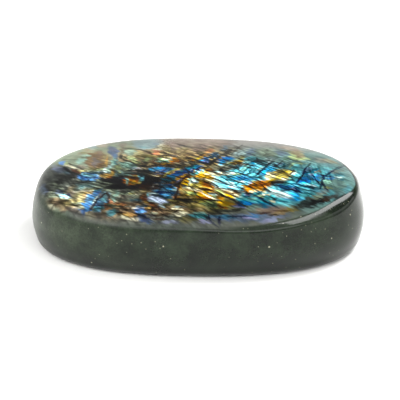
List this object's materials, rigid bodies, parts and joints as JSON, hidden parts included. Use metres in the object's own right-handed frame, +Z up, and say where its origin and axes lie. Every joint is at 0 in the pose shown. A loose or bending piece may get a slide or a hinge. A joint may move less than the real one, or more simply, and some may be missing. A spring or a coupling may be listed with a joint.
{
  "type": "polished labradorite stone",
  "caption": "Flat oval polished labradorite palm stone with a gently domed flashing face, a facet along its front right edge and a flat ground base to lie on.",
  "frame": {"origin": "on the flat ground base, in the middle of the stone's length and width", "axes": "+Z up out of the domed face, +X along the stone's length, -Y towards the facet's front edge"},
  "size_m": [0.0791, 0.054, 0.0172],
  "materials": {
    "polished_labradorite": "dark grey-green feldspar ground and polished to a gloss, with a blue, gold and teal flash in the face"
  },
  "bodies": {
    "root": {"labradorite_stone": "polished_labradorite"}
  },
  "joints": []
}
